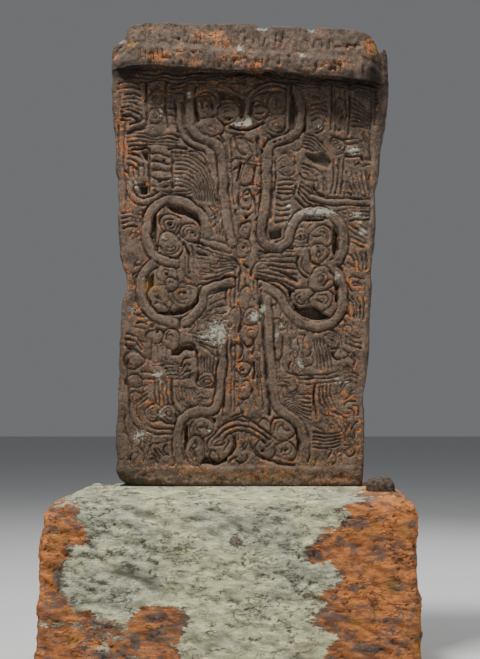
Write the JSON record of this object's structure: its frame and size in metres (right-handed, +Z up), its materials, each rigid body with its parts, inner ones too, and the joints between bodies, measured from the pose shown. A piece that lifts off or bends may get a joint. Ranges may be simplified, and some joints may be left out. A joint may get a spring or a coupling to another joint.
{
  "type": "khachkar",
  "caption": "Weathered stone slab carved with a large cross and a projecting cornice, standing on a rough stone block.",
  "frame": {"origin": "middle of the block's flat underside", "axes": "+Z up the slab, +Y from the carved face to the back, +X to the right as the carved face is looked at"},
  "size_m": [1.1808, 0.714, 2.0883],
  "materials": {
    "carved_stone": "weathered, rough, brown-grey with orange and pale lichen",
    "block_stone": "rough, mostly under pale cream-green and orange lichen",
    "rubble_stone": "broken, rough, grey-brown"
  },
  "bodies": {
    "root": {"slab": "carved_stone", "plinth": "block_stone", "loose_stone": "rubble_stone"}
  },
  "joints": []
}
